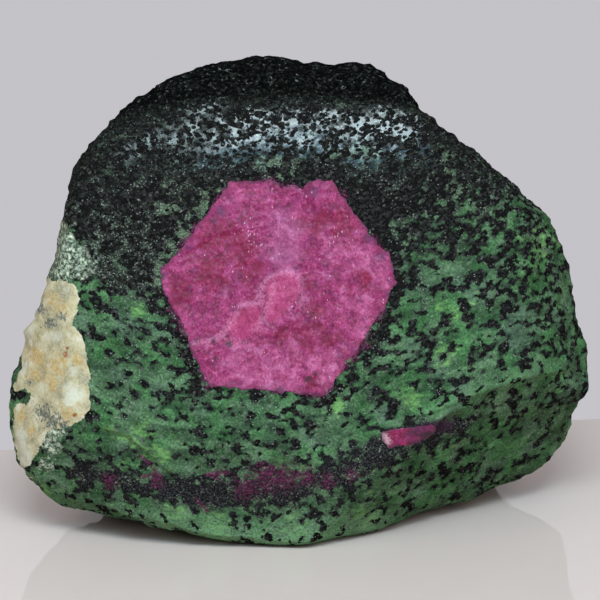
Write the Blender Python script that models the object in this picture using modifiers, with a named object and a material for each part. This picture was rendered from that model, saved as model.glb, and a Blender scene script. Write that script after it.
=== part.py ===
"""Ruby in zoisite: a broken hand specimen of green rock with a six-sided ruby crystal across its face.

The stone is drawn in its own frame, seen square on to its broad face: x runs to the right, v up the
face, and w into the stone. It is then leaned back onto its flat underside. Metres, +Z up, face to -Y.
"""

import math

import bmesh
import bpy
from mathutils import Matrix, Vector

MM = 0.001

LEAN = math.radians(17.0)  # the broad face leans back this far from upright
THICKNESS = 54 * MM  # from the broad face to the back, before the back is broken off
FOOT_DEPTH = 9 * MM  # how far behind the broad face the stone first touches the ground
RUBY_DEPTH = 14 * MM  # how far each crystal reaches behind the broad face
LENS_DEPTH = 13 * MM
GAP = 0.3 * MM  # clearance all round a crystal in its socket

# The edge of the stone seen square on, clockwise from the top, as (x, v) in millimetres.
OUTLINE = (
    (-7.2, 84.2), (2.5, 83.2), (9.6, 83.0), (17.2, 79.8), (21.4, 74.2),
    (29.8, 67.6), (38.0, 61.2), (44.4, 54.4), (46.6, 46.5), (46.9, 41.0),
    (50.2, 32.0), (47.9, 22.6), (47.6, 13.0), (37.6, 6.4), (27.8, 4.0),
    (19.0, 0.6), (6.5, -0.9), (-5.3, -0.7), (-16.8, 1.7), (-32.0, 5.6),
    (-41.2, 7.2), (-48.0, 11.8), (-50.8, 21.0), (-48.8, 31.4), (-43.8, 42.6),
    (-40.6, 53.2), (-38.4, 64.2), (-34.8, 69.9), (-28.8, 76.2), (-17.2, 81.8),
)

# The faces the stone broke along: a point on each, as (x, v, w) in millimetres, and its outward normal.
BREAKS = {
    "shoulder": ((0, 72.0, 0), (0.00, 0.52, -1.0)),
    "top": ((0, 75.5, 2.6), (0.05, 1.35, -1.0)),
    "upper_left": ((-26, 66, 0), (-0.55, 0.60, -1.0)),
    "left": ((-39, 34, 0), (-1.10, 0.0, -1.0)),
    "upper_right": ((24, 60, 0), (0.60, 0.50, -1.0)),
    "right": ((31, 40, 0), (0.62, 0.10, -1.0)),
    "right_end": ((42, 36, 8), (1.90, 0.25, -1.0)),
    "under_ridge": ((28.6, 25.7, 0), (0.92, -1.28, -1.0)),
    "foot": ((-8, 17, 0), (-0.02, -0.52, -1.0)),
    "foot_left": ((-30, 16, 0), (-0.45, -0.75, -1.0)),
    "back_top": ((0, 84, 24), (0.0, 1.0, 0.75)),
    "back_upper_left": ((-38, 62, 18), (-1.0, 0.45, 0.7)),
    "back_left": ((-48, 24, 18), (-1.0, -0.1, 0.75)),
    "back_upper_right": ((42, 56, 30), (1.0, 0.6, 0.9)),
    "back_right": ((50, 30, 33), (1.0, -0.1, 0.8)),
    "back_slope": ((0, 60, 43), (0.12, 0.45, 1.0)),
    "back_face": ((0, 30, 49), (-0.12, -0.05, 1.0)),
    "back_foot_right": ((30, 8, 34), (0.5, -1.0, 0.5)),
    "under_left": ((-13, 0, 9), (-0.11, -0.956, 0.292)),
    "under_right": ((16, 0, 9), (0.10, -0.956, 0.292)),
}

# The ruby's edge across the face, clockwise from its upper left corner, as (x, v) in millimetres.
RUBY_OUTLINE = (
    (-11.8, 62.1), (5.6, 62.9), (13.7, 51.8), (16.4, 45.2), (10.5, 34.0),
    (4.4, 26.1), (-15.3, 27.6), (-20.6, 39.3), (-23.6, 45.2), (-18.4, 53.2),
)

# The small ruby shows as a lens, in millimetres.
LENS_CENTRE = Vector((18.2, 19.3))
LENS_HALF_LENGTH = 4.6
LENS_HALF_HEIGHT = 1.9
LENS_TILT = math.radians(8.0)
LENS_SIDES = 20

FACET_SIZE = 2.7 * MM
SMOOTH_PASSES = 3
LUMP_SPACING = 11 * MM
LUMP_HEIGHT = 2.2 * MM

CUTTER_REACH = 20 * MM  # how far a crystal's cutter stands out in front of the broad face
GROUND_BLOCK = 300 * MM

ROCK_COLOUR = (0.07, 0.15, 0.07)
RUBY_COLOUR = (0.50, 0.04, 0.18)


def clear_scene():
    for obj in list(bpy.data.objects):
        bpy.data.objects.remove(obj, do_unlink=True)


def new_collection(name, hidden=False):
    collection = bpy.data.collections.new(name)
    collection.hide_render = hidden
    bpy.context.scene.collection.children.link(collection)
    return collection


def new_material(name, colour, roughness):
    material = bpy.data.materials.new(name)
    material.use_nodes = True
    shader = material.node_tree.nodes["Principled BSDF"]
    shader.inputs["Base Color"].default_value = (*colour, 1)
    shader.inputs["Roughness"].default_value = roughness
    shader.inputs["Metallic"].default_value = 0
    material.diffuse_color = (*colour, 1)
    return material


def new_object(name, bm, collection, parent=None):
    bmesh.ops.recalc_face_normals(bm, faces=bm.faces)
    mesh = bpy.data.meshes.new(name)
    bm.to_mesh(mesh)
    bm.free()
    obj = bpy.data.objects.new(name, mesh)
    obj.parent = parent
    collection.objects.link(obj)
    return obj


def stone_frame(collection):
    """An empty whose axes are x, v and w: every piece is drawn in it."""
    frame = bpy.data.objects.new("stone_frame", None)
    collection.objects.link(frame)
    across = Vector((1, 0, 0))
    up_face = Vector((0, math.sin(LEAN), math.cos(LEAN)))
    into_stone = Vector((0, math.cos(LEAN), -math.sin(LEAN)))
    frame.matrix_world = Matrix((across, up_face, into_stone)).transposed().to_4x4()
    return frame


def prism(outline, front, back):
    """A closed prism with an outline in millimetres, between two depths."""
    bm = bmesh.new()
    corners = [bm.verts.new((x * MM, v * MM, front)) for x, v in outline]
    face = bm.faces.new(corners)
    extruded = bmesh.ops.extrude_face_region(bm, geom=[face])["geom"]
    far_corners = [part for part in extruded if isinstance(part, bmesh.types.BMVert)]
    bmesh.ops.translate(bm, verts=far_corners, vec=(0, 0, back - front))
    return bm


def break_off(bm, point, normal):
    """Removes what lies beyond a plane, and closes the stone there."""
    bmesh.ops.bisect_plane(
        bm,
        geom=bm.verts[:] + bm.edges[:] + bm.faces[:],
        plane_co=Vector(point) * MM,
        plane_no=Vector(normal),
        clear_outer=True,
    )
    rim = [edge for edge in bm.edges if edge.is_boundary]
    bmesh.ops.holes_fill(bm, edges=rim, sides=0)


def broken_block():
    """The stone's rough shape: a prism of its outline with each break taken off."""
    bm = prism(OUTLINE, 0.0, THICKNESS)
    for point, normal in BREAKS.values():
        break_off(bm, point, normal)
    return bm


def weather(obj, lumps):
    """Rounds the broken edges, and raises the lumps of a natural surface."""
    facets = obj.modifiers.new("facets", "REMESH")
    facets.mode = "VOXEL"
    facets.voxel_size = FACET_SIZE
    rounding = obj.modifiers.new("rounding", "SMOOTH")
    rounding.iterations = SMOOTH_PASSES
    raised = obj.modifiers.new("lumps", "DISPLACE")
    raised.texture = lumps
    raised.texture_coords = "LOCAL"
    raised.strength = LUMP_HEIGHT


def new_cutter(name, bm, collection, parent=None):
    cutter = new_object(name, bm, collection, parent)
    cutter.hide_render = True
    cutter.display_type = "WIRE"
    return cutter


def cut_with(obj, cutter, operation):
    modifier = obj.modifiers.new(cutter.name, "BOOLEAN")
    modifier.operation = operation
    modifier.solver = "EXACT"
    modifier.object = cutter


def inset(outline, distance):
    """A clockwise outline in millimetres with each side moved inwards by a distance in metres."""
    points = [Vector(point) for point in outline]
    moved = []
    for before, here, after in zip(points[-1:] + points[:-1], points, points[1:] + points[:1]):
        arriving = (here - before).normalized()
        leaving = (after - here).normalized()
        inward = Vector((arriving.y, -arriving.x))
        bisector = (inward + Vector((leaving.y, -leaving.x))).normalized()
        moved.append(here + bisector * (distance / MM) / bisector.dot(inward))
    return moved


def lens_outline():
    """A tilted ellipse, clockwise."""
    points = []
    for side in range(LENS_SIDES):
        angle = -2 * math.pi * side / LENS_SIDES
        point = Vector((LENS_HALF_LENGTH * math.cos(angle), LENS_HALF_HEIGHT * math.sin(angle)))
        points.append(LENS_CENTRE + Matrix.Rotation(LENS_TILT, 2) @ point)
    return points


def crystal_cutters(name, outline, depth, collection, frame):
    """The socket that a crystal sits in, and the crystal's own edge, one gap smaller all round."""
    socket = prism(outline, -CUTTER_REACH, depth + GAP)
    edge = prism(inset(outline, GAP), -CUTTER_REACH, depth)
    return (
        new_cutter(name + "_socket", socket, collection, frame),
        new_cutter(name + "_edge", edge, collection, frame),
    )


def ground_cutter(collection):
    """A block whose top is the level the stone rests at."""
    bm = bmesh.new()
    bmesh.ops.create_cube(bm, size=GROUND_BLOCK)
    ground = new_cutter("ground", bm, collection)
    ground.location.z = -FOOT_DEPTH * math.sin(LEAN) - GROUND_BLOCK / 2
    return ground


def bounds_of(objects):
    """The lowest and highest corners of the finished pieces."""
    bpy.context.view_layer.update()
    graph = bpy.context.evaluated_depsgraph_get()
    points = []
    for obj in objects:
        evaluated = obj.evaluated_get(graph)
        points += [evaluated.matrix_world @ vertex.co for vertex in evaluated.to_mesh().vertices]
        evaluated.to_mesh_clear()
    low = Vector([min(point[axis] for point in points) for axis in range(3)])
    high = Vector([max(point[axis] for point in points) for axis in range(3)])
    return low, high


def main():
    clear_scene()
    pieces = new_collection("ruby_in_zoisite")
    cutters = new_collection("cutters", hidden=True)
    frame = stone_frame(cutters)
    rock = new_material("zoisite_rock", ROCK_COLOUR, 0.5)
    ruby = new_material("ruby", RUBY_COLOUR, 0.4)
    lumps = bpy.data.textures.new("lumps", "CLOUDS")
    lumps.noise_scale = LUMP_SPACING

    ruby_socket, ruby_edge = crystal_cutters("ruby", RUBY_OUTLINE, RUBY_DEPTH, cutters, frame)
    lens_socket, lens_edge = crystal_cutters("lens", lens_outline(), LENS_DEPTH, cutters, frame)
    ground = ground_cutter(cutters)

    matrix = new_object("zoisite_matrix", broken_block(), pieces, frame)
    ruby_crystal = new_object("ruby_crystal", broken_block(), pieces, frame)
    small_ruby = new_object("small_ruby", broken_block(), pieces, frame)
    for piece in (matrix, ruby_crystal, small_ruby):
        weather(piece, lumps)
    for cutter in (ruby_socket, lens_socket, ground):
        cut_with(matrix, cutter, "DIFFERENCE")
    cut_with(ruby_crystal, ruby_edge, "INTERSECT")
    cut_with(small_ruby, lens_edge, "INTERSECT")
    matrix.data.materials.append(rock)
    ruby_crystal.data.materials.append(ruby)
    small_ruby.data.materials.append(ruby)

    # The origin goes to the middle of the underside.
    low, high = bounds_of([matrix])
    to_origin = Vector(((low.x + high.x) / 2, (low.y + high.y) / 2, low.z))
    frame.location = -to_origin
    ground.location -= to_origin


main()
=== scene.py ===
# %% [markdown]
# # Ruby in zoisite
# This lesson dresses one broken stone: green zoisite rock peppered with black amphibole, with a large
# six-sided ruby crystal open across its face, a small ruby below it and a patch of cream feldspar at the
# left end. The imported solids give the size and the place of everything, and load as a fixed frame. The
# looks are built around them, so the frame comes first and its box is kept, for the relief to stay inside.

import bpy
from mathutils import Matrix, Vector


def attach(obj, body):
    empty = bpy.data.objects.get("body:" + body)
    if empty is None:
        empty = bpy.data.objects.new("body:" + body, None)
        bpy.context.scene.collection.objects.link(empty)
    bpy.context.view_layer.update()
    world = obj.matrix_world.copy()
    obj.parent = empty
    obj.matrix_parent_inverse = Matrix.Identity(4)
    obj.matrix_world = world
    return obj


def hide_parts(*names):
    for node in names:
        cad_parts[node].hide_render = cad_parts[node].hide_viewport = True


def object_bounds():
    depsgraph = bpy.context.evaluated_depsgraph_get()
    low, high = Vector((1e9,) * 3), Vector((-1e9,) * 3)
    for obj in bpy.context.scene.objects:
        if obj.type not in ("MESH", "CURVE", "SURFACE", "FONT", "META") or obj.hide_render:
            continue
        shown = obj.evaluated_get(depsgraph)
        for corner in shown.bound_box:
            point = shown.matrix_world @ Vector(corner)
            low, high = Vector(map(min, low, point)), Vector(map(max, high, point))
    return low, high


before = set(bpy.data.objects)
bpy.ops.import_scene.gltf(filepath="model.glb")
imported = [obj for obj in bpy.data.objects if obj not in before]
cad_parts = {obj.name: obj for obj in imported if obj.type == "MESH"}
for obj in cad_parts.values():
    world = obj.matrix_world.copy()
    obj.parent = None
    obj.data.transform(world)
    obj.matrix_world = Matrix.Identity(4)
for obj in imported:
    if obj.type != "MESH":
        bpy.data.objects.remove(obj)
cad_low, cad_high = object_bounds()
print("frame box in metres:", tuple(cad_low), tuple(cad_high))

# %% [markdown]
# The rest of the tools are Blender's own. Lengths below are written in millimetres, as a collector would
# give them, and one constant turns them into Blender's metres.

# %% Tools and units
import math

import bmesh
import bpy
import numpy as np
from mathutils import Vector, noise

MM = 0.001
scene = bpy.context.scene
scene.view_settings.view_transform = "Standard"

# %% [markdown]
# A stone has no upright edges to measure from, so it gets a frame of its own. Its broad face leans back by
# 17 degrees. Seen square on, x runs to the right, v runs up the face and w runs into the stone. Every
# feature of the rock is placed by its x and v on that face, which is how one would point at it.

# %% The stone's own axes
LEAN_DEGREES = 17.0
LEAN = math.radians(LEAN_DEGREES)
STONE_ORIGIN = Vector((-0.2161, -32.9309, 2.6313)) * MM
UP_FACE = Vector((0, math.sin(LEAN), math.cos(LEAN)))
INTO_STONE = Vector((0, math.cos(LEAN), -math.sin(LEAN)))


def place(x, v, w):
    """A point of the stone's own frame, in millimetres, as a point of the scene."""
    return STONE_ORIGIN + (Vector((1, 0, 0)) * x + UP_FACE * v + INTO_STONE * w) * MM


def stone_millimetres(points):
    """Scene points as columns x, v and w of the stone's own frame, in millimetres."""
    away = (np.asarray(points, float) - np.array(STONE_ORIGIN)) / MM
    return np.stack([away[:, 0], away @ np.array(UP_FACE), away @ np.array(INTO_STONE)], axis=1)


print("middle of the broad face:", tuple(place(0, 42, 0)))

# %% [markdown]
# ## Camera
# The camera looks straight at the leaning face, 17 degrees above the level, from a little over half a
# metre with a long lens, so the stone hardly tapers. It is made before anything else, because every
# later choice of scale depends on how large a grain appears.

# %% Camera
CAMERA_DISTANCE = 576 * MM
CAMERA_AIM = Vector((-0.26, -1.51, 37.05)) * MM
LENS_LENGTH = 200.0
SENSOR_WIDTH = 36.0

camera = bpy.data.objects.new("camera", bpy.data.cameras.new("camera"))
camera.data.lens = LENS_LENGTH
camera.data.sensor_width = SENSOR_WIDTH
camera.data.clip_start = 10 * MM
camera.location = CAMERA_AIM - INTO_STONE * CAMERA_DISTANCE
camera.rotation_euler = INTO_STONE.to_track_quat("-Z", "Y").to_euler()
scene.collection.objects.link(camera)
scene.camera = camera
print("camera at", tuple(camera.location))

# %% [markdown]
# ## Floor and light
# The stone stands on a pale glossy slab that ends a little way behind it. Past the slab there is only an
# even pale background. In a studio that background is a lit sheet, and the rest of the room is dim, so the
# world shows the sheet's colour to the camera and gives the stone only a weak fill.

# %% Background
BACKGROUND = (0.552, 0.543, 0.577)
ROOM_FILL = (0.14, 0.14, 0.145)
SHEET_FROM = 0.1
SHEET_FULL = 0.7


def studio_world():
    """A pale background for the camera; everything else sees it only behind the stone."""
    world = bpy.data.worlds.new("studio")
    world.use_nodes = True
    tree = world.node_tree
    direction = tree.nodes.new("ShaderNodeTexCoord")
    parts = tree.nodes.new("ShaderNodeSeparateXYZ")
    behind = tree.nodes.new("ShaderNodeMapRange")
    behind.inputs["From Min"].default_value = SHEET_FROM
    behind.inputs["From Max"].default_value = SHEET_FULL
    path = tree.nodes.new("ShaderNodeLightPath")
    shown = tree.nodes.new("ShaderNodeMath")
    shown.operation = "MAXIMUM"
    choice = tree.nodes.new("ShaderNodeMix")
    choice.data_type = "RGBA"
    choice.inputs[6].default_value = (*ROOM_FILL, 1)
    choice.inputs[7].default_value = (*BACKGROUND, 1)
    tree.links.new(direction.outputs["Generated"], parts.inputs[0])
    tree.links.new(parts.outputs["Y"], behind.inputs["Value"])
    tree.links.new(behind.outputs[0], shown.inputs[0])
    tree.links.new(path.outputs["Is Camera Ray"], shown.inputs[1])
    tree.links.new(shown.outputs[0], choice.inputs[0])
    tree.links.new(choice.outputs[2], tree.nodes["Background"].inputs["Color"])
    return world


scene.world = studio_world()
print("background:", BACKGROUND, "and room fill:", ROOM_FILL)

# %% Floor slab
FLOOR_COLOUR = (0.725, 0.58, 0.525, 1)
FLOOR_ROUGHNESS = 0.03
FLOOR_IOR = 1.5
FLOOR_HALF_WIDTH = 2.5
FLOOR_FRONT = -2.5
FLOOR_EDGE_AT = 34 * MM
FLOOR_EDGE_SLANT = 0.16


def floor_slab():
    """A flat sheet whose far edge runs at a slant behind the stone."""
    bm = bmesh.new()
    bmesh.ops.create_grid(bm, x_segments=1, y_segments=1, size=FLOOR_HALF_WIDTH)
    for corner in bm.verts:
        if corner.co.y > 0:
            corner.co.y = FLOOR_EDGE_AT + FLOOR_EDGE_SLANT * corner.co.x
        else:
            corner.co.y = FLOOR_FRONT
    mesh = bpy.data.meshes.new("floor")
    bm.to_mesh(mesh)
    bm.free()
    floor = bpy.data.objects.new("floor", mesh)
    scene.collection.objects.link(floor)
    gloss = bpy.data.materials.new("pale_gloss")
    gloss.use_nodes = True
    shader = gloss.node_tree.nodes["Principled BSDF"]
    shader.inputs["Base Color"].default_value = FLOOR_COLOUR
    shader.inputs["Roughness"].default_value = FLOOR_ROUGHNESS
    shader.inputs["IOR"].default_value = FLOOR_IOR
    mesh.materials.append(gloss)


floor_slab()
print("floor ends behind the stone at", FLOOR_EDGE_AT, "m")

# %% [markdown]
# Four soft boxes light the stone. The key is a flat box, high in front. Its height is worked out from the
# stone: the worn shoulder leans back by another 16 degrees, and a mirror at that slope sends this
# direction to the camera, so the shoulder throws the box back as a cold white band. A wider, weaker blue
# box just under the key colours the fringe of the band, as a window would. Two square boxes fill the face
# from the left and the right. None of them shows to the camera.

# %% Soft boxes
SHOULDER_SLOPE = 0.29
SHOULDER_LEAN = LEAN_DEGREES + math.degrees(math.atan(SHOULDER_SLOPE))
KEY_ELEVATION = 2 * SHOULDER_LEAN - LEAN_DEGREES
WINDOW_ELEVATION = KEY_ELEVATION - 7
KEY = dict(elevation=KEY_ELEVATION, azimuth=0, distance=0.75, size=(0.36, 0.17), power=4.3)
WINDOW = dict(elevation=WINDOW_ELEVATION, azimuth=0, distance=0.75, size=(0.62, 0.20), power=1.7)
LEFT_FILL = dict(elevation=38, azimuth=-48, distance=0.9, size=(0.5, 0.5), power=2.0)
RIGHT_FILL = dict(elevation=32, azimuth=50, distance=0.9, size=(0.5, 0.5), power=2.0)
COOL = (0.80, 0.955, 1.0)
BLUE = (0.20, 0.64, 1.0)
NEUTRAL = (1.0, 0.985, 0.97)


def soft_box(name, colour, elevation, azimuth, distance, size, power):
    """An area light that faces the middle of the stone; azimuth 0 is in front, positive to the right."""
    light = bpy.data.lights.new(name, "AREA")
    light.shape = "RECTANGLE"
    light.size, light.size_y = size
    light.energy = power
    light.color = colour
    box = bpy.data.objects.new(name, light)
    rise, turn = math.radians(elevation), math.radians(azimuth)
    outward = Vector((math.cos(rise) * math.sin(turn), -math.cos(rise) * math.cos(turn), math.sin(rise)))
    box.location = CAMERA_AIM + outward * distance
    box.rotation_euler = outward.to_track_quat("Z", "Y").to_euler()
    box.visible_camera = False
    scene.collection.objects.link(box)


soft_box("key_box", COOL, **KEY)
soft_box("window_box", BLUE, **WINDOW)
soft_box("left_box", NEUTRAL, **LEFT_FILL)
soft_box("right_box", NEUTRAL, **RIGHT_FILL)

# %% [markdown]
# ## The blank
# Rock and crystals grew together, so the visible stone starts as one body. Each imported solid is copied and
# its loose triangles are merged. The crystals are swelled until they close the thin gap that the solids
# keep around them. A voxel remesh then fuses the three into one even skin, and a smoothing pass takes the
# coarse facets off. Remeshing is the right tool here because a broken stone has no edges worth keeping.

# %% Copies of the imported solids
CRYSTAL_SWELL = 0.7 * MM
CRYSTAL_NODES = ("ruby_crystal", "small_ruby")
MERGE_DISTANCE = 1e-6


def merged_copy(node):
    """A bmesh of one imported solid, with its triangles joined."""
    bm = bmesh.new()
    bm.from_mesh(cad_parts[node].data)
    bmesh.ops.remove_doubles(bm, verts=bm.verts, dist=MERGE_DISTANCE)
    return bm


def swell_crystal(bm):
    """Pushes a crystal's sides outwards across the face, and its back end deeper."""
    centre = sum((vert.co for vert in bm.verts), Vector()) / len(bm.verts)
    deepest = max((vert.co - centre).dot(INTO_STONE) for vert in bm.verts)
    for vert in bm.verts:
        away = vert.co - centre
        depth = away.dot(INTO_STONE)
        across = away - INTO_STONE * depth
        vert.co += across.normalized() * CRYSTAL_SWELL
        if depth > deepest - CRYSTAL_SWELL:
            vert.co += INTO_STONE * CRYSTAL_SWELL


print("crystals to swell:", CRYSTAL_NODES)

# %% The fused blank
SKIN_SIZE = 0.75 * MM
SMOOTH_PASSES = 9


def new_object(name, bm):
    """An object with the mesh that a bmesh holds."""
    mesh = bpy.data.meshes.new(name)
    bm.to_mesh(mesh)
    bm.free()
    obj = bpy.data.objects.new(name, mesh)
    scene.collection.objects.link(obj)
    return obj


def settle(obj):
    """Replaces an object's mesh by what its modifiers make of it."""
    graph = bpy.context.evaluated_depsgraph_get()
    mesh = bpy.data.meshes.new_from_object(obj.evaluated_get(graph))
    obj.modifiers.clear()
    obj.data = mesh


def fused_blank():
    """The three solids as one even skin."""
    together = bmesh.new()
    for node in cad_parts:
        bm = merged_copy(node)
        if node in CRYSTAL_NODES:
            swell_crystal(bm)
        part = bpy.data.meshes.new(node + "_copy")
        bm.to_mesh(part)
        bm.free()
        together.from_mesh(part)
        bpy.data.meshes.remove(part)
    blank = new_object("blank", together)
    skin = blank.modifiers.new("skin", "REMESH")
    skin.mode = "VOXEL"
    skin.voxel_size = SKIN_SIZE
    rounding = blank.modifiers.new("rounding", "SMOOTH")
    rounding.iterations = SMOOTH_PASSES
    settle(blank)
    return blank


blank = fused_blank()
print("blank:", len(blank.data.polygons), "faces")

# %% [markdown]
# The broad face is what one looks at, so its faces are split once more. The sides and the back keep the
# coarser skin, and the whole stone stays light.

# %% A finer skin on the broad face
FACE_TURN = 0.30
FACE_DEPTH = 16.0


def faces_front(face):
    """Whether a face belongs to the broad face or to its shoulder."""
    depth = stone_millimetres([face.calc_center_median()])[0, 2]
    return face.normal.dot(-INTO_STONE) > FACE_TURN and depth < FACE_DEPTH


def refine(obj, wanted):
    """Splits each wanted face in four."""
    bm = bmesh.new()
    bm.from_mesh(obj.data)
    bm.normal_update()
    edges = {edge for face in bm.faces if wanted(face) for edge in face.edges}
    bmesh.ops.subdivide_edges(bm, edges=list(edges), cuts=1, use_grid_fill=True)
    bm.to_mesh(obj.data)
    bm.free()


refine(blank, faces_front)
print("blank, refined:", len(blank.data.polygons), "faces")

# %% [markdown]
# ## Relief
# The broad face is worn smooth, with low swells and shallow pits. The sides, the top and the back are raw
# breaks: ridged, stepped along the layers of the rock, and gritty. Both kinds are sums of noise at a few
# sizes, pushed along the normals, which works like a sculptor's coarse and fine brushes. Reading the noise
# at the stone's own coordinates keeps the result the same on every run.

# %% Noise brushes
LAYER_MIDDLE = -8.0
LAYER_BEND = 0.0036
LAYER_DIP = 0.22
SEED_SHIFT = (7.3, 3.1, 5.7)


def layer_height(stone):
    """How high in the pile of layers each point lies: the layers sag in the middle and dip inwards."""
    sag = LAYER_BEND * (stone[:, 0] - LAYER_MIDDLE) ** 2
    return stone[:, 1] - sag + LAYER_DIP * stone[:, 2]


def swells(stone, spacing, seed):
    """Smooth noise around 0, whose lumps lie about a spacing apart, in millimetres."""
    start = Vector([seed * shift for shift in SEED_SHIFT])
    return np.array([noise.noise(Vector(point) / spacing + start) for point in stone])


def crests(stone, spacing, seed):
    """Ridged noise from 0 down to -1: sharp crests between scooped hollows."""
    return -np.abs(swells(stone, spacing, seed)) * 2


def fade(values, low, high):
    """0 below low, 1 above high, and a smooth step between them."""
    part = np.clip((values - low) / (high - low), 0, 1)
    return part * part * (3 - 2 * part)


print("layers sag by", LAYER_BEND * 40 ** 2, "mm at 40 mm from their middle")

# %% [markdown]
# Under the fine relief, the broad face is a few nearly flat breaks that meet in blunt ridges. The packed
# solids carry lumps there that are right for weight and touch but too strong for light, because the
# shoulder has to mirror a lamp in one even band. So the front is eased towards the flat breaks themselves:
# each is a plane that says how deep the surface lies, and the deepest one wins, with a soft corner.

# %% Flat breaks of the front: a point (x, v, w), and how fast the break falls away with x and with v
FLAT_BREAKS = (
    ((0, 0, 0), 0.0, 0.0),
    ((0, 67.4, 0), 0.0, SHOULDER_SLOPE),
    ((-12.5, 67.4, 0), -0.10, SHOULDER_SLOPE),
    ((14, 67.0, 0), 0.09, SHOULDER_SLOPE),
    ((0, 76.1, 2.75), 0.05, 1.35),
    ((-35, 65, 1.3), -0.60, 0.75),
    ((-39, 34, 0), -1.10, 0.0),
    ((27.5, 66, 1.0), 0.65, 0.50),
    ((24, 40, 0), 0.16, 0.03),
    ((29, 40, 0.4), 0.36, 0.06),
    ((34, 40, 1.6), 0.66, 0.10),
    ((42, 36, 8), 1.90, 0.25),
    ((28.6, 25.7, 0), 0.92, -1.28),
    ((-8, 17, 0), -0.02, -0.52),
    ((-30, 16, 0), -0.45, -0.75),
)
EVEN_BREAKS = 4
CORNER_SOFTNESS = 0.9
EASE_REACH = 1.6


def break_pulls(stone):
    """One row for each break: its pull on every point, strongest where the break lies deepest."""
    x, v = stone[:, 0], stone[:, 1]
    depths = [
        w0 + along_x * (x - x0) + along_v * (v - v0)
        for (x0, v0, w0), along_x, along_v in FLAT_BREAKS
    ]
    return np.exp(np.array(depths) / CORNER_SOFTNESS)


def flat_break_depth(stone):
    """How deep the front would lie if its breaks were flat, in millimetres."""
    return CORNER_SOFTNESS * np.log(break_pulls(stone).sum(axis=0))


def even_share(stone):
    """1 on the broad face and its shoulder, and 0 past the creases that end them."""
    pulls = break_pulls(stone)
    return pulls[:EVEN_BREAKS].sum(axis=0) / pulls.sum(axis=0)


middle = np.array([[0.0, 42.0, 0.0]])
print("depth of the face at its middle:", flat_break_depth(middle))

# %% [markdown]
# Some breaks are too particular for noise: the lip that runs down to the left, the crease under the ridge
# on the right, and the notch in the right edge. Each is a stroke across the face with a drop on one side.
# Distances to a stroke are measured first, and distances to a closed outline, because every later map of
# the stone is drawn with the same two.

# %% Strokes and areas drawn on the face
def stroke_distance(stone, path):
    """Distance from each point to a path of (x, v) points, and its signed side, in millimetres."""
    flat = stone[:, :2]
    nearest = np.full(len(flat), np.inf)
    side = np.zeros(len(flat))
    for start, end in zip(path[:-1], path[1:]):
        start, along = np.array(start, float), np.subtract(end, start)
        share = np.clip((flat - start) @ along / (along @ along), 0, 1)
        away = flat - start - share[:, None] * along
        distance = np.hypot(away[:, 0], away[:, 1])
        closer = distance < nearest
        turn = along[0] * away[:, 1] - along[1] * away[:, 0]
        nearest = np.where(closer, distance, nearest)
        side = np.where(closer, np.sign(turn), side)
    return nearest, side * nearest


def area_distance(stone, outline):
    """Signed distance to a closed outline of (x, v) points: positive inside it."""
    flat = stone[:, :2]
    inside = np.zeros(len(flat), bool)
    for (x0, v0), (x1, v1) in zip(outline, outline[1:] + outline[:1]):
        if v0 == v1:
            continue
        spans = (v0 > flat[:, 1]) != (v1 > flat[:, 1])
        crossing = x0 + (x1 - x0) * (flat[:, 1] - v0) / (v1 - v0)
        inside ^= spans & (flat[:, 0] < crossing)
    distance, _ = stroke_distance(stone, outline + outline[:1])
    return np.where(inside, distance, -distance)


print("from the middle of the face to x = 10:", stroke_distance(middle, ((10, 30), (10, 50)))[0], "mm")

# %% [markdown]
# A ledge drops the ground on one side of its stroke. A trim takes a little off all round a stroke, which
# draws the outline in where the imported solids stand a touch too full.

# %% Ledges and trims
STEP_SOFTNESS = 0.5
LIP_WIDTH = 0.6
LEDGES = (
    dict(path=((-33.0, 20.8), (-28.5, 19.0), (-25.0, 15.8), (-22.5, 13.6)), drop=0.7, run=3.0, lip=0.15),
    dict(path=((22.0, 23.2), (30.0, 26.4), (38.0, 28.8), (46.0, 30.2)), drop=0.6, run=3.5, lip=0.25),
    dict(path=((30.0, 19.0), (38.0, 22.0), (46.0, 25.5)), drop=0.35, run=2.0, lip=0.0),
    dict(path=((40.5, 45.0), (44.0, 40.0), (48.0, 37.5)), drop=0.6, run=3.0, lip=0.1),
    dict(path=((-40.5, 46.0), (-36.5, 44.6), (-34.0, 44.8)), drop=0.25, run=1.5, lip=0.0),
)
TRIMS = (
    dict(path=((17.0, 79.5), (26.6, 72.0), (34.5, 66.0), (40.0, 61.0)), drop=1.1, reach=3.5),
    dict(path=((47.3, 23.8), (46.8, 22.4)), drop=1.3, reach=1.8),
    dict(path=((-44.0, 44.2), (-45.6, 42.4)), drop=0.8, reach=2.2),
)


def ledge(stone, path, drop, run, lip):
    """A step along a path: the ground right of it drops, and climbs back over a run. A lip stands up."""
    distance, side = stroke_distance(stone, path)
    step = fade(side, -STEP_SOFTNESS, STEP_SOFTNESS)
    return drop * (step - 1) * np.exp(-distance / run) + lip * np.exp(-(distance / LIP_WIDTH) ** 2)


def trim(stone, path, drop, reach):
    """How much to take off around a path, in millimetres."""
    distance, _ = stroke_distance(stone, path)
    return drop * np.exp(-(distance / reach) ** 2)


print("ledges:", len(LEDGES), "and trims:", len(TRIMS))

# %% [markdown]
# The relief is worked out in millimetres for every point, and moved along the normals. Each line below is
# a height, then the spacing of its noise and a seed.

# %% Worn and raw relief
LAYER_STEP = 4.2


def vertex_array(mesh, what):
    """The places or the normals of a mesh, one row for each point."""
    values = np.empty(len(mesh.vertices) * 3, np.float32)
    mesh.vertices.foreach_get(what, values)
    return values.reshape(-1, 3).astype(float)


def store(mesh, name, values):
    """Keeps one number, or one vector, for each point of a mesh."""
    kind, slot = ("FLOAT", "value") if values.ndim == 1 else ("FLOAT_VECTOR", "vector")
    attribute = mesh.attributes.new(name, kind, "POINT")
    attribute.data.foreach_set(slot, values.astype(np.float32).ravel())


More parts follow.
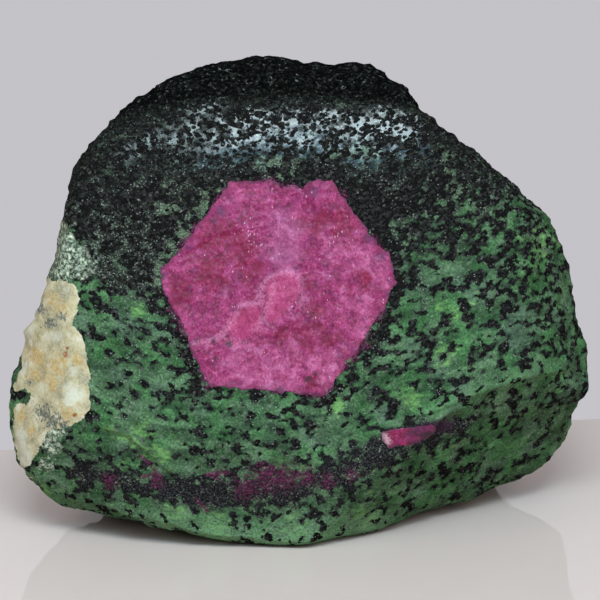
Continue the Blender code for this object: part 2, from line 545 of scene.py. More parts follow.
def worn_relief(stone):
    """The broad face: low swells, a few shallow pits and a fine grain."""
    pitted = fade(swells(stone, 14.0, 5), 0.05, 0.3)
    below_shoulder = fade(-stone[:, 1], -66, -60)
    return (
        0.20 * swells(stone, 9.0, 1)
        + 0.06 * swells(stone, 3.2, 2)
        + 0.03 * swells(stone, 1.3, 3)
        + 0.25 * crests(stone, 5.0, 4) * pitted * below_shoulder
    )


def raw_relief(stone):
    """A raw break: crests, steps along the layers, and grit."""
    height = layer_height(stone) / LAYER_STEP + 0.9 * swells(stone, 9.0, 6)
    steps = height - np.floor(height)
    return (
        1.1 * crests(stone, 12.0, 7)
        + 0.35 * crests(stone, 4.5, 8)
        + 0.40 * swells(stone, 2.2, 9)
        + 0.30 * swells(stone, 1.0, 10)
        + 0.35 * (fade(steps, 0.0, 0.25) - 0.6 * steps)
        + 0.4
    )


print("layers step every", LAYER_STEP, "mm")

# %% [markdown]
# The underside is left flat, since the stone rests there, and nothing may leave the box of the packed
# solids: near a wall of the box the relief is pressed down softly instead of being cut off.

# %% Sculpt the blank
BOX_MARGIN = 0.6 * MM
REST_LEVEL = 0.4
REST_RISE = 3.0
FACE_SINK = 0.6
FRONT_FADE = (0.35, 0.70)
SHOWN_FADE = (0.2, 0.5)
CROWN_MIDDLE = -2.0
CROWN_BEND = 0.004


def press_inside(points):
    """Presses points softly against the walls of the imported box, and flat against the floor."""
    for axis in range(3):
        wall = cad_high[axis] - BOX_MARGIN
        past = np.maximum(points[:, axis] - wall, 0)
        points[:, axis] = np.minimum(points[:, axis], wall) + BOX_MARGIN * (1 - np.exp(-past / BOX_MARGIN))
        if axis == 2:
            points[:, axis] = np.maximum(points[:, axis], 0)
            continue
        wall = cad_low[axis] + BOX_MARGIN
        past = np.maximum(wall - points[:, axis], 0)
        points[:, axis] = np.maximum(points[:, axis], wall) - BOX_MARGIN * (1 - np.exp(-past / BOX_MARGIN))
    return points


def push_out(obj, points, normals, relief):
    """Moves a mesh's points along their normals by a relief in millimetres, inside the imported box."""
    moved = press_inside(points + normals * relief[:, None] * MM)
    obj.data.vertices.foreach_set("co", moved.astype(np.float32).ravel())
    obj.data.update()


def crown_height(stone):
    """The height on the face, measured so that the bent lower edge of the raw crown lies level."""
    return stone[:, 1] + CROWN_BEND * (stone[:, 0] - CROWN_MIDDLE) ** 2


def sculpt(obj):
    """Eases the front towards its flat breaks, and then lays the relief over everything."""
    points = vertex_array(obj.data, "co")
    normals = vertex_array(obj.data, "normal")
    stone = stone_millimetres(points)
    facing = normals @ -np.array(INTO_STONE)
    off = np.clip(flat_break_depth(stone) - FACE_SINK - stone[:, 2], -EASE_REACH, EASE_REACH)
    eased = off * fade(facing, *FRONT_FADE)
    points += eased[:, None] * MM * np.array(INTO_STONE)
    raw = 1 - fade(facing, *FRONT_FADE)
    raw = np.maximum(raw, fade(crown_height(stone), 75.2, 77.0))
    relief = (1 - raw) * worn_relief(stone) + raw * raw_relief(stone)
    shown = fade(facing, *SHOWN_FADE)
    for one in LEDGES:
        relief += shown * ledge(stone, **one)
    for one in TRIMS:
        relief -= raw * trim(stone, **one)
    relief *= fade(points[:, 2] / MM, REST_LEVEL, REST_RISE)
    push_out(obj, points, normals, relief)
    store(obj.data, "raw", raw)
    return relief


relief = sculpt(blank)
print("relief from", round(relief.min(), 2), "to", round(relief.max(), 2), "mm")

# %% [markdown]
# ## Rubies and rock
# The blank is now cut into its three pieces. Each crystal has a prism cutter whose outline is drawn by its
# corners, with the sides divided and shaken a little, because a crystal that grew in rock has a ragged
# edge. The rock loses the prism and the crystal keeps it, so the two meet exactly all round.

# %% The crystals' edges
RUBY_CORNERS = (
    (-11.9, 61.8), (-5.0, 61.9), (-3.0, 61.0), (0.2, 60.9), (1.2, 61.9), (5.2, 62.2), (7.3, 59.2),
    (10.1, 55.3), (12.9, 51.4), (14.9, 49.9), (15.9, 44.9), (13.9, 40.3), (11.5, 37.0), (9.5, 33.7),
    (6.2, 29.2), (3.9, 26.2), (0.2, 26.6), (-5.4, 27.0), (-11.0, 27.3), (-15.4, 27.9), (-17.1, 31.6),
    (-20.3, 39.0), (-23.4, 44.2), (-23.3, 46.9), (-18.6, 52.4), (-15.3, 57.2),
)
LENS_CORNERS = (
    (13.7, 19.8), (15.6, 20.6), (18.9, 20.9), (22.2, 21.4), (22.6, 20.2), (21.6, 18.7),
    (18.6, 17.8), (16.2, 17.5), (14.6, 17.7), (13.7, 18.7),
)
EDGE_STEP = 0.45
EDGE_SHAKE = 0.6
LONG_WAVE = 1.6
SHORT_WAVE = 0.6
SHORT_SHARE = 0.6
SECOND_NOISE = Vector((17.3, 5.9, 11.1))


def sideways(point, spacing, seed):
    """A push across the face of up to 1 each way, from noise whose lumps lie about a spacing apart."""
    where = Vector((point.x, point.y, seed)) / spacing
    return Vector((noise.noise(where), noise.noise(where + SECOND_NOISE)))


def ragged(corners, seed):
    """The outline through some corners, in short steps, each moved a little by noise."""
    points = []
    for start, end in zip(corners, corners[1:] + corners[:1]):
        start, end = Vector(start), Vector(end)
        steps = max(1, round((end - start).length / EDGE_STEP))
        for step in range(steps):
            point = start.lerp(end, step / steps)
            push = sideways(point, LONG_WAVE, seed) + SHORT_SHARE * sideways(point, SHORT_WAVE, seed)
            points.append(point + push * EDGE_SHAKE)
    return points


print("ruby corners:", len(RUBY_CORNERS), "and lens corners:", len(LENS_CORNERS))

# %% Prism cutters
CUT_FRONT = -12.0
RUBY_DEPTH = 13.9
LENS_DEPTH = 12.9
RUBY_SEED = 3.0
LENS_SEED = 8.0


def prism(name, corners, depth, seed):
    """A closed cutter through the face, to some depth."""
    bm = bmesh.new()
    rim = [bm.verts.new(place(point.x, point.y, CUT_FRONT)) for point in ragged(corners, seed)]
    face = bm.faces.new(rim)
    sides = bmesh.ops.extrude_face_region(bm, geom=[face])["geom"]
    far = [part for part in sides if isinstance(part, bmesh.types.BMVert)]
    bmesh.ops.translate(bm, verts=far, vec=INTO_STONE * (depth - CUT_FRONT) * MM)
    bmesh.ops.recalc_face_normals(bm, faces=bm.faces)
    cutter = new_object(name, bm)
    cutter.hide_render = True
    return cutter


ruby_prism = prism("ruby_prism", RUBY_CORNERS, RUBY_DEPTH, RUBY_SEED)
lens_prism = prism("lens_prism", LENS_CORNERS, LENS_DEPTH, LENS_SEED)
print("ruby edge:", len(ruby_prism.data.vertices) // 2, "points")

# %% Cut the blank into rock and crystals
def cut(name, *cuts):
    """A copy of the blank with some prisms cut from it, or kept."""
    piece = bpy.data.objects.new(name, blank.data.copy())
    scene.collection.objects.link(piece)
    for operation, cutter in cuts:
        modifier = piece.modifiers.new(cutter.name, "BOOLEAN")
        modifier.operation = operation
        modifier.solver = "MANIFOLD"
        modifier.object = cutter
    settle(piece)
    piece.data.name = name
    return piece


rock = cut("speckled_zoisite", ("DIFFERENCE", ruby_prism), ("DIFFERENCE", lens_prism))
ruby = cut("hexagonal_ruby", ("INTERSECT", ruby_prism))
lens = cut("small_ruby_lens", ("INTERSECT", lens_prism))
for helper in (blank, ruby_prism, lens_prism):
    bpy.data.objects.remove(helper)
for piece in (rock, ruby, lens):
    print(piece.name, len(piece.data.polygons), "faces")

# %% [markdown]
# ## The ruby's parting steps
# Ruby has no cleavage, but it parts in thin sheets, which leaves low rounded steps on a broken crystal.
# The two lobes in the middle are drawn as paths, and a field of small random steps runs over the rest.

# %% Steps on the ruby's face
RUBY_STEPS = (
    dict(path=((-20.0, 34.0), (-13.6, 35.8), (-11.2, 38.6), (-9.9, 41.2), (-6.6, 41.6), (-6.9, 43.3),
               (-5.6, 45.6), (-3.2, 46.6), (-0.9, 46.5), (0.1, 45.4), (0.2, 41.0)),
         drop=-0.34, run=2.2, lip=0.06),
    dict(path=((-4.4, 44.6), (-4.9, 42.0), (-7.2, 37.4)), drop=0.22, run=1.6, lip=0.06),
    dict(path=((8.6, 46.0), (8.9, 38.0), (6.0, 31.0)), drop=0.3, run=2.5, lip=0.08),
    dict(path=((-9.6, 54.5), (-8.0, 50.0), (-7.8, 44.5)), drop=-0.3, run=2.5, lip=0.05),
    dict(path=((2.4, 57.5), (2.8, 51.0), (3.4, 46.0)), drop=0.3, run=3.0, lip=0.05),
    dict(path=((-18.0, 50.5), (-14.0, 53.0), (-9.0, 53.8)), drop=0.35, run=2.5, lip=0.0),
)


PARTING_STEP = 0.07
PARTING_LEVELS = 3.0
LEVEL_LIFT = 10


def parting(stone):
    """Small sheets of parting: noise cut into a few levels with soft risers."""
    level = PARTING_LEVELS * (swells(stone, 4.5, 21) + 0.35 * swells(stone, 1.5, 22)) + LEVEL_LIFT
    steps = level - np.floor(level)
    return (np.floor(level) + fade(steps, 0.4, 0.6) - LEVEL_LIFT) * PARTING_STEP


def carve_ruby(obj):
    """Lays the steps over the ruby's face, and lets them die out towards its edge."""
    refine(obj, faces_front)
    points = vertex_array(obj.data, "co")
    normals = vertex_array(obj.data, "normal")
    stone = stone_millimetres(points)
    relief = parting(stone) + 0.08 * swells(stone, 0.8, 23) - 0.1
    for one in RUBY_STEPS:
        relief += ledge(stone, **one)
    inside = area_distance(stone, RUBY_CORNERS)
    relief *= fade(normals @ -np.array(INTO_STONE), 0.5, 0.8) * (0.25 + 0.75 * fade(inside, 0.0, 2.0))
    push_out(obj, points, normals, relief)
    return relief


relief = carve_ruby(ruby)
print("parting steps from", round(relief.min(), 2), "to", round(relief.max(), 2), "mm")

# %% [markdown]
# ## Where each mineral lies
# A material needs to know where it is: how near the ruby, in the dark band or in the feldspar. These maps
# are worked out once per point and stored on the mesh as attributes. They are smooth and a little vague on
# purpose, because the material breaks their edges up with noise far finer than the mesh.

# %% Outlines and strokes of the zones
FELDSPAR = (
    (-47.0, 46.2), (-42.2, 45.4), (-37.3, 44.9), (-36.8, 42.4), (-37.2, 39.8), (-38.0, 38.2),
    (-36.7, 37.0), (-35.9, 34.6), (-35.2, 30.2), (-34.8, 27.0), (-35.2, 23.8), (-36.7, 21.9),
    (-38.6, 21.0), (-40.6, 20.6), (-42.8, 20.2), (-43.9, 17.6), (-44.3, 15.0), (-45.6, 12.6),
    (-47.6, 13.0), (-48.7, 17.6), (-48.9, 21.0), (-48.3, 23.6), (-46.4, 24.2), (-45.6, 26.0),
    (-46.8, 27.6), (-49.6, 27.4), (-56.0, 28.0), (-56.0, 34.0), (-50.0, 40.0),
)
WHITE_PATCH = (
    (-41.0, 55.6), (-38.2, 55.0), (-37.4, 51.6), (-34.6, 49.6), (-33.8, 47.6), (-34.2, 45.4),
    (-37.5, 45.2), (-42.0, 45.6), (-48.0, 49.0), (-46.0, 54.0),
)
BAND = (
    (-38.0, 12.8), (-31.9, 12.0), (-25.2, 11.0), (-18.5, 9.8), (-11.8, 9.5),
    (-3.4, 10.0), (5.0, 12.1), (13.3, 16.4), (20.0, 19.4), (26.9, 21.2),
)
DARK_TOP_X = (-52.0, -42.0, -36.0, -30.0, -24.0, -20.0, 12.0, 17.0, 24.0, 32.0, 42.0, 52.0)
DARK_TOP_V = (60.0, 57.0, 49.0, 46.0, 41.0, 38.0, 50.0, 53.0, 58.0, 61.0, 64.0, 66.0)
GREY_RIM = ((-24.4, 44.5), (-22.0, 49.6), (-19.4, 53.2), (-16.4, 57.2), (-14.5, 60.0))
GLINT_STROKE = ((-34.8, 65.6), (-24.4, 68.6), (-12.5, 72.0))
LIP_STROKE = ((-31.6, 20.4), (-28.2, 19.0), (-25.2, 16.9), (-22.2, 14.8))
RIDGE_STROKE = ((23.0, 24.2), (29.0, 26.8), (36.0, 29.2), (42.0, 30.6))
print("feldspar outline:", len(FELDSPAR), "points")

# %% Marks on the rock: centre x and v, and radius; or a stroke
LIME_SPOTS = (
    (5.6, 24.6, 2.0), (18.2, 26.2, 2.2), (23.0, 41.0, 1.3), (24.4, 40.6, 1.5), (26.0, 39.8, 1.4),
    (29.0, 41.6, 1.0), (41.0, 51.6, 4.0), (-30.0, 13.6, 1.8), (-27.0, 40.0, 1.6), (12.2, 13.6, 1.8),
    (11.0, 5.6, 3.6), (-1.0, 3.5, 3.0), (-21.4, 6.0, 2.6), (-43.0, 9.5, 2.4), (46.0, 44.0, 2.0),
    (38.0, 17.5, 2.0), (-26.5, 20.5, 2.2), (-23.5, 16.5, 2.2), (24.0, 33.0, 2.6), (-14.0, 4.0, 3.0),
    (-50.0, 23.4, 3.0), (-50.2, 19.6, 2.6), (-49.6, 16.0, 1.8),
)
STAIN_SPOTS = (
    (-5.6, 12.6, 4.0), (-9.0, 10.6, 3.0), (-2.4, 12.2, 3.4), (1.0, 12.6, 2.2), (-24.0, 11.6, 1.6),
    (10.9, 34.6, 1.2), (-14.0, 12.9, 1.3), (4.6, 11.8, 2.0), (8.6, 12.8, 1.6), (-32.0, 11.6, 1.8),
)
KHAKI_STROKES = (
    ((-7.2, 65.3), (-1.6, 65.1)),
    ((-4.2, 62.9), (1.8, 62.7)),
    ((5.4, 66.4), (12.8, 66.8)),
    ((11.4, 58.4), (13.2, 56.4), (15.2, 54.4)),
    ((24.6, 66.0), (26.2, 60.0)),
    ((-22.5, 57.0), (-20.6, 58.6)),
)
MOTTLE_SPOTS = ((-42.4, 18.4, 2.6), (-40.8, 20.2, 2.0), (-43.0, 14.6, 1.8))
STAIN_STROKES = (
    ((-26.8, 16.2), (-25.2, 14.6), (-23.4, 12.6)),
    ((-23.8, 13.2), (-26.6, 12.4)),
    ((-15.6, 12.9), (-12.0, 13.3)),
    ((-17.6, 8.6), (-15.5, 6.6)),
)
VIOLET_STROKE = ((20.6, 20.4), (23.0, 21.0), (24.6, 21.3))
OCHRE_SPOTS = (
    (-41.6, 42.0, 1.5), (-39.9, 40.9, 1.5), (-41.0, 31.0, 2.2), (-44.4, 32.4, 2.2), (-38.8, 23.4, 1.5),
    (-47.2, 22.6, 1.2), (-37.0, 32.0, 1.3), (-44.6, 29.6, 1.6), (-45.6, 20.0, 1.0), (-41.6, 28.4, 1.6),
)
RUST_SPOTS = ((-39.2, 33.0, 0.55), (-38.9, 34.0, 0.35), (-37.6, 22.9, 0.4))
SOOT_SPOTS = (
    (-43.8, 40.6, 1.3), (-42.0, 38.2, 1.3), (-39.9, 39.3, 0.9), (-43.0, 23.0, 1.8), (-41.4, 21.8, 1.8),
    (-39.4, 20.8, 1.0), (-45.7, 28.2, 0.5),
)
FROST_SPOTS = (
    (-38.4, 26.8, 2.4), (-46.8, 36.4, 2.2), (-39.2, 43.8, 1.4), (-47.2, 18.6, 2.6), (-46.8, 14.8, 2.4),
    (-37.6, 30.4, 1.6), (-47.0, 30.6, 1.4), (-40.6, 36.0, 1.6),
)
BLACK_SPOTS = ((-47.6, 26.0, 0.8), (-49.7, 20.8, 0.7), (-49.4, 29.8, 0.6))
print("lime spots:", len(LIME_SPOTS), "and stain spots:", len(STAIN_SPOTS))


# %% Marks as maps
def spots(stone, marks):
    """1 at the middle of each mark and near 0 past its radius."""
    found = np.zeros(len(stone))
    for x, v, radius in marks:
        distance = np.hypot(stone[:, 0] - x, stone[:, 1] - v)
        found = np.maximum(found, np.exp(-(distance / radius) ** 2))
    return found


def near_stroke(stone, path, width):
    """1 on a stroke, and near 0 past its width."""
    distance, _ = stroke_distance(stone, path)
    return np.exp(-(distance / width) ** 2)


print("reach of a lime spot on the face's middle:", spots(middle, LIME_SPOTS))

# %% [markdown]
# The black grains are thickest in the top of the stone, in the band near its foot and in a halo around the
# ruby, where the chemistry changed as the crystal grew. The halo is strong to the right of the ruby and
# below it on the left, and gives way to a pale grey-green rim on the upper left.

# %% Dark zones: the top, the halo of the ruby, the band and the net of the shoulder
RUBY_MIDDLE = (-4.0, 44.0)
HALO_WIDTH = 3.0
HALO_AXIS = math.radians(215)
BAND_HALF_WIDTH = 1.5
BAND_SWELL = 2.04


def past_ruby(stone):
    """How far each point lies outside the ruby's outline."""
    return np.maximum(-area_distance(stone, RUBY_CORNERS), 0)


def dark_zones(stone):
    """How strongly each point belongs to the dark top, the halo, the band and the net."""
    x, v, w = stone.T
    top = fade(v - np.interp(x, DARK_TOP_X, DARK_TOP_V) + 0.10 * w, -7.0, 8.0)
    turn = np.arctan2(v - RUBY_MIDDLE[1], x - RUBY_MIDDLE[0])
    strength = 0.45 + 0.35 * np.cos(turn) + 0.25 * np.cos(2 * (turn - HALO_AXIS))
    halo = np.exp(-(past_ruby(stone) / HALO_WIDTH) ** 2) * np.clip(strength, 0.12, 0.9)
    halo *= fade(-w, -14.0, -8.0)
    wide = np.exp(-((x - RUBY_MIDDLE[0]) / 22.0) ** 2)
    distance, _ = stroke_distance(stone, BAND)
    band = np.exp(-(distance / (BAND_HALF_WIDTH + BAND_SWELL * wide)) ** 2)
    net = fade(v + 0.12 * np.abs(x - CROWN_MIDDLE), 63.0, 67.5)
    return top, halo, band, net


print("top, halo, band and net at the face's middle:", dark_zones(middle))

# %% Share of the black grains
PLAIN_SHARE = 0.37


def black_share(stone, top, halo, band, net):
    """How thickly the black grains lie: 0.5 covers half of the surface."""
    x, v, _ = stone.T
    pale = 0.16 * spots(stone, LIME_SPOTS) + 0.2 * near_stroke(stone, LIP_STROKE, 1.3)
    # Fewer grains along the crest of the right ridge: part of its painted highlight.
    pale += 0.12 * near_stroke(stone, RIDGE_STROKE, 1.3)
    pale += 0.22 * near_stroke(stone, GREY_RIM, 1.5) - 0.5 * spots(stone, BLACK_SPOTS)
    right = 0.10 * fade(x, 14.0, 26.0) * fade(v, 24.0, 34.0)
    right += 0.08 * fade(x, 12.0, 20.0) * fade(v, 42.0, 54.0)
    share = PLAIN_SHARE + 0.26 * top - 0.21 * net + 0.38 * halo + 0.28 * band + right - pale
    return np.clip(share, 0.05, 0.98)


print("black share at the face's middle:", black_share(middle, *dark_zones(middle)))

# %% [markdown]
# The other minerals follow. The feldspar, the whitish patch above it and the grey-green rim of the ruby
# each have an outline or a stroke. Everything that is drawn on the front fades out behind it, and the
# feldspar ends at a wavy depth inside the left end.

# %% Maps over the rock
FELDSPAR_DEPTH = 13.5
WHITE_PATCH_SHARPNESS = 0.45


def rock_maps(stone):
    """Each map by the name that the material reads it by."""
    top, halo, band, net = dark_zones(stone)
    front = 1 - fade(stone[:, 2], 12.0, 18.0)
    depth_left = FELDSPAR_DEPTH + 5.0 * swells(stone, 7.0, 32) - stone[:, 2]
    wavy = stone.copy()
    wavy[:, 1] += 4.0 * swells(stone, 6.0, 33) * fade(stone[:, 2], 2.0, 7.0)
    mottle = 3.0 * spots(stone, MOTTLE_SPOTS) - 1.6
    whitish = np.minimum(np.maximum(area_distance(wavy, WHITE_PATCH), mottle), depth_left - 2.0)
    streaks = np.max([near_stroke(stone, path, 0.45) for path in STAIN_STROKES], axis=0)
    near_ruby = 0.75 * np.exp(-past_ruby(stone) ** 2) * fade(swells(stone, 3.0, 31), -0.2, 0.4)
    stains = np.maximum(np.maximum(0.8 * spots(stone, STAIN_SPOTS), streaks), near_ruby)
    khaki = np.max([near_stroke(stone, path, 1.0) for path in KHAKI_STROKES], axis=0)
    rim = np.maximum(0.65 * near_stroke(stone, GREY_RIM, 1.3), 1.2 * khaki)
    even = fade(even_share(stone), 0.45, 0.90)
    polished_net = net * 0.72 * fade(stone[:, 0], -24.0, -9.0)
    polished_streak = 0.58 * near_stroke(stone, GLINT_STROKE, 1.6)
    return {
        "black_share": black_share(stone, top, halo, band, net),
        "net": net,
        "polish": even * np.maximum(polished_net, polished_streak),
        "gloom": np.clip(1.15 * top + 0.55 * halo + 0.75 * band - 0.5 * rim, 0, 1.2),
        "crown": fade(crown_height(stone), 74.5, 77.5),
        "feldspar": np.minimum(area_distance(wavy, FELDSPAR), depth_left),
        "white_patch": WHITE_PATCH_SHARPNESS * whitish,
        "band": band,
        "foot": front * fade(-layer_height(stone), -9.0, -3.0),
        "lime": front * np.maximum(spots(stone, LIME_SPOTS), near_stroke(stone, LIP_STROKE, 1.3)),
        # The ridge map places a painted highlight along the crest of the right ridge.
        "ridge": front * near_stroke(stone, RIDGE_STROKE, 1.4),
        "stain": front * stains,
        "violet": front * near_stroke(stone, VIOLET_STROKE, 1.5),
        "grey_rim": front * rim,
        "ochre": spots(stone, OCHRE_SPOTS),
        "rust": spots(stone, RUST_SPOTS),
        "soot": spots(stone, SOOT_SPOTS),
        "frost": spots(stone, FROST_SPOTS),
    }


def store_places(mesh):
    """The coordinates that patterns read: straight ones, and ones that follow the bent layers."""
    stone = stone_millimetres(vertex_array(mesh, "co"))
    store(mesh, "stone", stone[:, [0, 2, 1]])
    store(mesh, "layers", np.stack([stone[:, 0], stone[:, 2], layer_height(stone)], axis=1))
    return stone


stone = store_places(rock.data)
maps = rock_maps(stone)
for name, values in maps.items():
    store(rock.data, name, values)
print("maps:", ", ".join(maps))

# %% [markdown]
# ## Wiring a material
# A stone's finish is a deep stack of noises, so the nodes are made by a small helper whose methods each
# add one node and hand back its output. A plain number is typed into a socket and a link is made only for
# something that varies, because a constant belongs on the shader's own socket. Colours are written as a
# painter's program shows them, 0 to 255, and made linear for the shader.

# %% A helper for wiring nodes
def shade(*colour):
    """Red, green and blue from 0 to 255, made linear for the shader."""
    return tuple(((c / 255 + 0.055) / 1.055) ** 2.4 if c > 10 else c / 255 / 12.92 for c in colour)


class Finish:
    """A material under construction. Sizes are in millimetres."""

    def __init__(self, name):
        self.material = bpy.data.materials.new(name)
        self.material.use_nodes = True
        self.tree = self.material.node_tree
        self.shader = self.tree.nodes["Principled BSDF"]

    def add(self, kind, inputs, output=0, **settings):
        node = self.tree.nodes.new(kind)
        for setting, value in settings.items():
            setattr(node, setting, value)
        for key, value in inputs.items():
            self.feed(node.inputs[key], value)
        return node.outputs[output]

    def feed(self, socket, value):
        if isinstance(value, bpy.types.NodeSocket):
            self.tree.links.new(value, socket)
        elif socket.type == "RGBA":
            socket.default_value = (*shade(*value), 1)
        else:
            socket.default_value = value

    def stored(self, name, output="Fac"):
        """A map kept on the mesh."""
        return self.add("ShaderNodeAttribute", {}, output, attribute_name=name)

    def math(self, operation, a, b):
        return self.add("ShaderNodeMath", {0: a, 1: b}, operation=operation)

    def times(self, a, b, plus=0.0):
        return self.add("ShaderNodeMath", {0: a, 1: b, 2: plus}, operation="MULTIPLY_ADD")

    def minus(self, a, b):
        return self.math("SUBTRACT", a, b)

    def frayed(self, name, ripple, reach):
        """A stored map with noise added, so that its edge wanders by up to half of the reach each way."""
        return self.times(ripple, reach, self.minus(self.stored(name), reach / 2))

    def stretch(self, vector, x, y, z):
        return self.add("ShaderNodeVectorMath", {0: vector, 1: (x, y, z)}, operation="MULTIPLY")

    def noise(self, vector, size, detail=2.0, roughness=0.5, output="Fac"):
        """Noise lies on a lattice that shows on a level cut, so the cut is turned askew first."""
        askew = {"Vector": vector, "Axis": (1.0, 1.0, 1.0), "Angle": 0.9}
        turned = self.add("ShaderNodeVectorRotate", askew, rotation_type="AXIS_ANGLE")
        inputs = {"Vector": turned, "Scale": 1 / size, "Detail": detail, "Roughness": roughness}
        return self.add("ShaderNodeTexNoise", inputs, output)

    def shake(self, vector, size, reach, detail=1.0):
        """The coordinates, each moved by up to half of the reach."""
        colour = self.noise(vector, size, detail, output="Color")
        centred = self.add("ShaderNodeVectorMath", {0: colour, 1: (0.5, 0.5, 0.5)}, operation="SUBTRACT")
        scaled = self.stretch(centred, reach, reach, reach)
        return self.add("ShaderNodeVectorMath", {0: vector, 1: scaled}, operation="ADD")

    def cells(self, vector, size, output="Distance"):
        return self.add("ShaderNodeTexVoronoi", {"Vector": vector, "Scale": 1 / size}, output)

    def between(self, value, low, high, to_low=0.0, to_high=1.0):
        """A smooth step from to_low at low to to_high at high."""
        inputs = {0: value, 1: low, 2: high, 3: to_low, 4: to_high}
        return self.add("ShaderNodeMapRange", inputs, interpolation_type="SMOOTHSTEP")

    def mix(self, amount, below, above):
        return self.add("ShaderNodeMix", {0: amount, 6: below, 7: above}, 2, data_type="RGBA")

    def cover(self, below, above, where, low, high, most=1.0):
        """One colour over another: none of it where a map is low, and most of it where it is high."""
        return self.mix(self.between(where, low, high, 0.0, most), below, above)

    def ramp(self, value, stops):
        """Colours at places from 0 to 1."""
        output = self.add("ShaderNodeValToRGB", {0: value})
        elements = output.node.color_ramp.elements
        while len(elements) < len(stops):
            elements.new(0.5)
        for element, (position, *colour) in zip(elements, stops):
            element.position = position
            element.color = (*shade(*colour), 1)
        return output

    def bump(self, height):
        """A normal from a height in millimetres."""
        return self.add("ShaderNodeBump", {"Height": height, "Strength": 1.0, "Distance": MM})


print("middle grey made linear:", shade(128, 128, 128))

# %% [markdown]
# ## Zoisite peppered with amphibole
# The black grains are clusters of tiny crystals. Small Voronoi cells give the crystals their crisp
# corners, and a noise read once per cell decides which of them are black. A second field of larger cells
# pulls the black together into blobs, and the coordinates follow the bent layers, which draws the blobs
# out along them. Near the top of the stone round grains join in, and leave the green as a net.

# %% Black grains
CRYSTAL_SIZE = 0.38
CLUSTER_SIZE = 1.15
CLUMP_SIZE = 2.0
PATCH_SIZE = 5.0
ROUND_GRAIN_SIZE = 0.85


def black_grains(finish, layers):
    """The mask of black crystals, each cell's random shade, and the dark that shows round them."""
    patch = finish.noise(layers, PATCH_SIZE)
    drawn_out = finish.stretch(finish.shake(layers, 0.6, 0.5, detail=2.0), 0.78, 0.5, 1.0)
    crystal = finish.cells(drawn_out, CRYSTAL_SIZE, "Position")
    tint = finish.cells(drawn_out, CRYSTAL_SIZE, "Color")
    stepped = finish.noise(crystal, CLUSTER_SIZE, detail=1.0)
    smooth = finish.noise(drawn_out, CLUSTER_SIZE, detail=1.0)
    cluster = finish.times(finish.minus(smooth, stepped), 0.4, stepped)
    clump = finish.cells(finish.shake(drawn_out, 1.2, 0.9, detail=2.0), CLUMP_SIZE)
    cluster = finish.times(finish.minus(0.53, clump), 0.30, cluster)
    wanted = finish.times(patch, 0.50, finish.minus(finish.stored("black_share"), 0.25))
    line = finish.times(wanted, -0.62, 0.815)
    lone = finish.times(tint, 0.12, finish.minus(cluster, 0.06))
    ragged = finish.between(finish.minus(lone, line), -0.014, 0.018)
    under = finish.between(finish.minus(cluster, line), -0.13, 0.02)

    loose = finish.shake(finish.stretch(layers, 0.85, 0.85, 1.0), 0.5, 0.5, detail=2.0)
    reach = finish.times(patch, 0.40, 0.28)
    rounded = finish.between(finish.minus(finish.cells(loose, ROUND_GRAIN_SIZE), reach), 0.04, -0.04)
    both = finish.math("MAXIMUM", ragged, finish.times(rounded, finish.stored("net")))
    return both, tint, under


print("black crystals of", CRYSTAL_SIZE, "mm in clusters of", CLUSTER_SIZE, "mm")

# %% [markdown]
# The green is not one green. Clouds a few millimetres wide drift between bluish and yellowish, and a fine
# sugary grain runs over them. One number, half cloud and half sugar, picks the colour from a ramp, and a
# few patches swap that ramp for a greyer, a lusher or a limier one. In the dark zones a black and grey
# grit takes the green's place.

# %% Colours of the ground: a place on the ramp, then red, green and blue
ZOISITE = ((0.34, 41, 58, 39), (0.46, 63, 85, 60), (0.55, 84, 112, 80), (0.69, 127, 156, 118))
GREY_ZOISITE = ((0.34, 48, 61, 50), (0.69, 118, 140, 120))
LUSH_ZOISITE = ((0.34, 36, 58, 34), (0.50, 62, 100, 60), (0.69, 104, 156, 98))
LIME_ZOISITE = ((0.34, 72, 112, 58), (0.66, 138, 184, 110))
GRIT = ((0.39, 14, 14, 13), (0.50, 37, 37, 35), (0.59, 74, 76, 71), (0.70, 162, 160, 150))
STREAK_GREEN = (38, 54, 42)
SHADOW_GREEN = (30, 42, 34)
NET_BLACK = (17, 18, 18)
print("zoisite from", ZOISITE[0][1:], "to", ZOISITE[-1][1:])


# %% Green ground
CLOUD_SIZE = 3.2
SUGAR_SIZE = 0.40


def green_ground(finish, stone, layers, under):
    """Zoisite between the grains, and the black and grey grit that takes its place in the dark zones."""
    cloud = finish.noise(finish.stretch(layers, 0.6, 0.6, 1.0), CLOUD_SIZE, detail=4.0, roughness=0.62)
    sugar = finish.noise(stone, SUGAR_SIZE, roughness=0.65)
    body = finish.times(sugar, 0.45, finish.times(cloud, 0.55))
    green = finish.ramp(body, ZOISITE)
    grey = finish.ramp(body, GREY_ZOISITE)
    green = finish.cover(green, grey, finish.noise(stone, 7.0), 0.48, 0.66, 0.5)
    lush = finish.between(finish.noise(layers, 6.0), 0.46, 0.60, 0.0, 0.85)
    lush = finish.times(lush, finish.between(finish.stored("gloom"), 0.05, 0.45, 1.0, 0.25))
    green = finish.mix(lush, green, finish.ramp(body, LUSH_ZOISITE))
    torn = finish.noise(finish.stretch(layers, 0.7, 0.7, 1.2), 1.3, detail=4.0, roughness=0.65)
    lime = finish.frayed("lime", torn, 4.0)
    green = finish.cover(green, finish.ramp(body, LIME_ZOISITE), lime, 0.42, 1.25, 0.85)
    streak = finish.noise(finish.stretch(layers, 0.14, 0.3, 1.3), 1.5, detail=3.0)
    green = finish.cover(green, STREAK_GREEN, streak, 0.56, 0.66, 0.45)
    green = finish.mix(finish.times(under, 0.62), green, SHADOW_GREEN)

    salt = finish.noise(finish.shake(stone, 0.5, 0.3), 0.30, roughness=0.7)
    grit = finish.mix(finish.times(finish.stored("net"), 0.75), finish.ramp(salt, GRIT), NET_BLACK)
    murk = finish.frayed("gloom", finish.noise(layers, 4.0, detail=3.0, roughness=0.6), 2.8)
    return finish.cover(green, grit, murk, 0.25, 0.85, 0.95), sugar, salt


